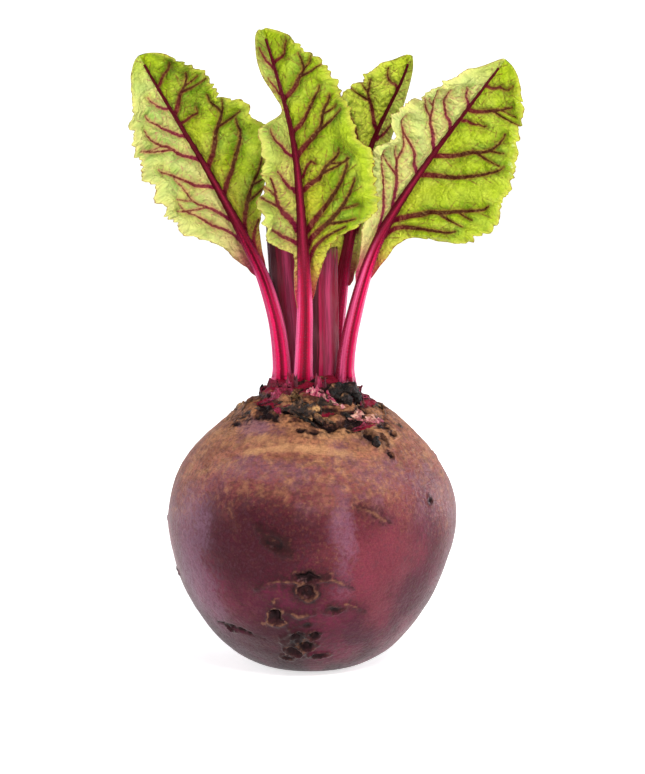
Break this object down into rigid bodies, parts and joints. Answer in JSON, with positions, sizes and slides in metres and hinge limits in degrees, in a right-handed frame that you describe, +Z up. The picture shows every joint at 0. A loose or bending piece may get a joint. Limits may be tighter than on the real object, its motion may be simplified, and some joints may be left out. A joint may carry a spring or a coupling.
{
  "type": "beetroot",
  "caption": "Globe beetroot with its leaves on, standing upright on the small flat spot under its root.",
  "frame": {"origin": "centre of the small flat spot that the root stands on", "axes": "+Z up along the root's axis to the crown, +X to the right and -Y towards someone facing the leaves' upper sides"},
  "size_m": [0.1058, 0.0804, 0.1775],
  "materials": {
    "root_skin": "satin",
    "fresh_stalk": "satin",
    "leaf_blade": "satin",
    "old_stalk": "satin",
    "trimmed_stalk": "matte",
    "dried_growth": "matte"
  },
  "bodies": {
    "root": {"root": "root_skin", "stalk_left": "fresh_stalk", "stalk_centre": "fresh_stalk", "stalk_right": "fresh_stalk", "stalk_rear": "fresh_stalk", "leaf_left": "leaf_blade", "leaf_centre": "leaf_blade", "leaf_right": "leaf_blade", "leaf_rear": "leaf_blade", "cut_stalk_rear_left": "old_stalk", "cut_stalk_rear_right": "old_stalk", "stalk_stub_front_left": "trimmed_stalk", "stalk_stub_front_right": "trimmed_stalk", "stalk_stub_back_left": "trimmed_stalk", "stalk_stub_back_right": "trimmed_stalk", "dried_stalk_base": "dried_growth", "dried_leaf_base": "dried_growth", "dried_bud": "dried_growth"}
  },
  "joints": []
}
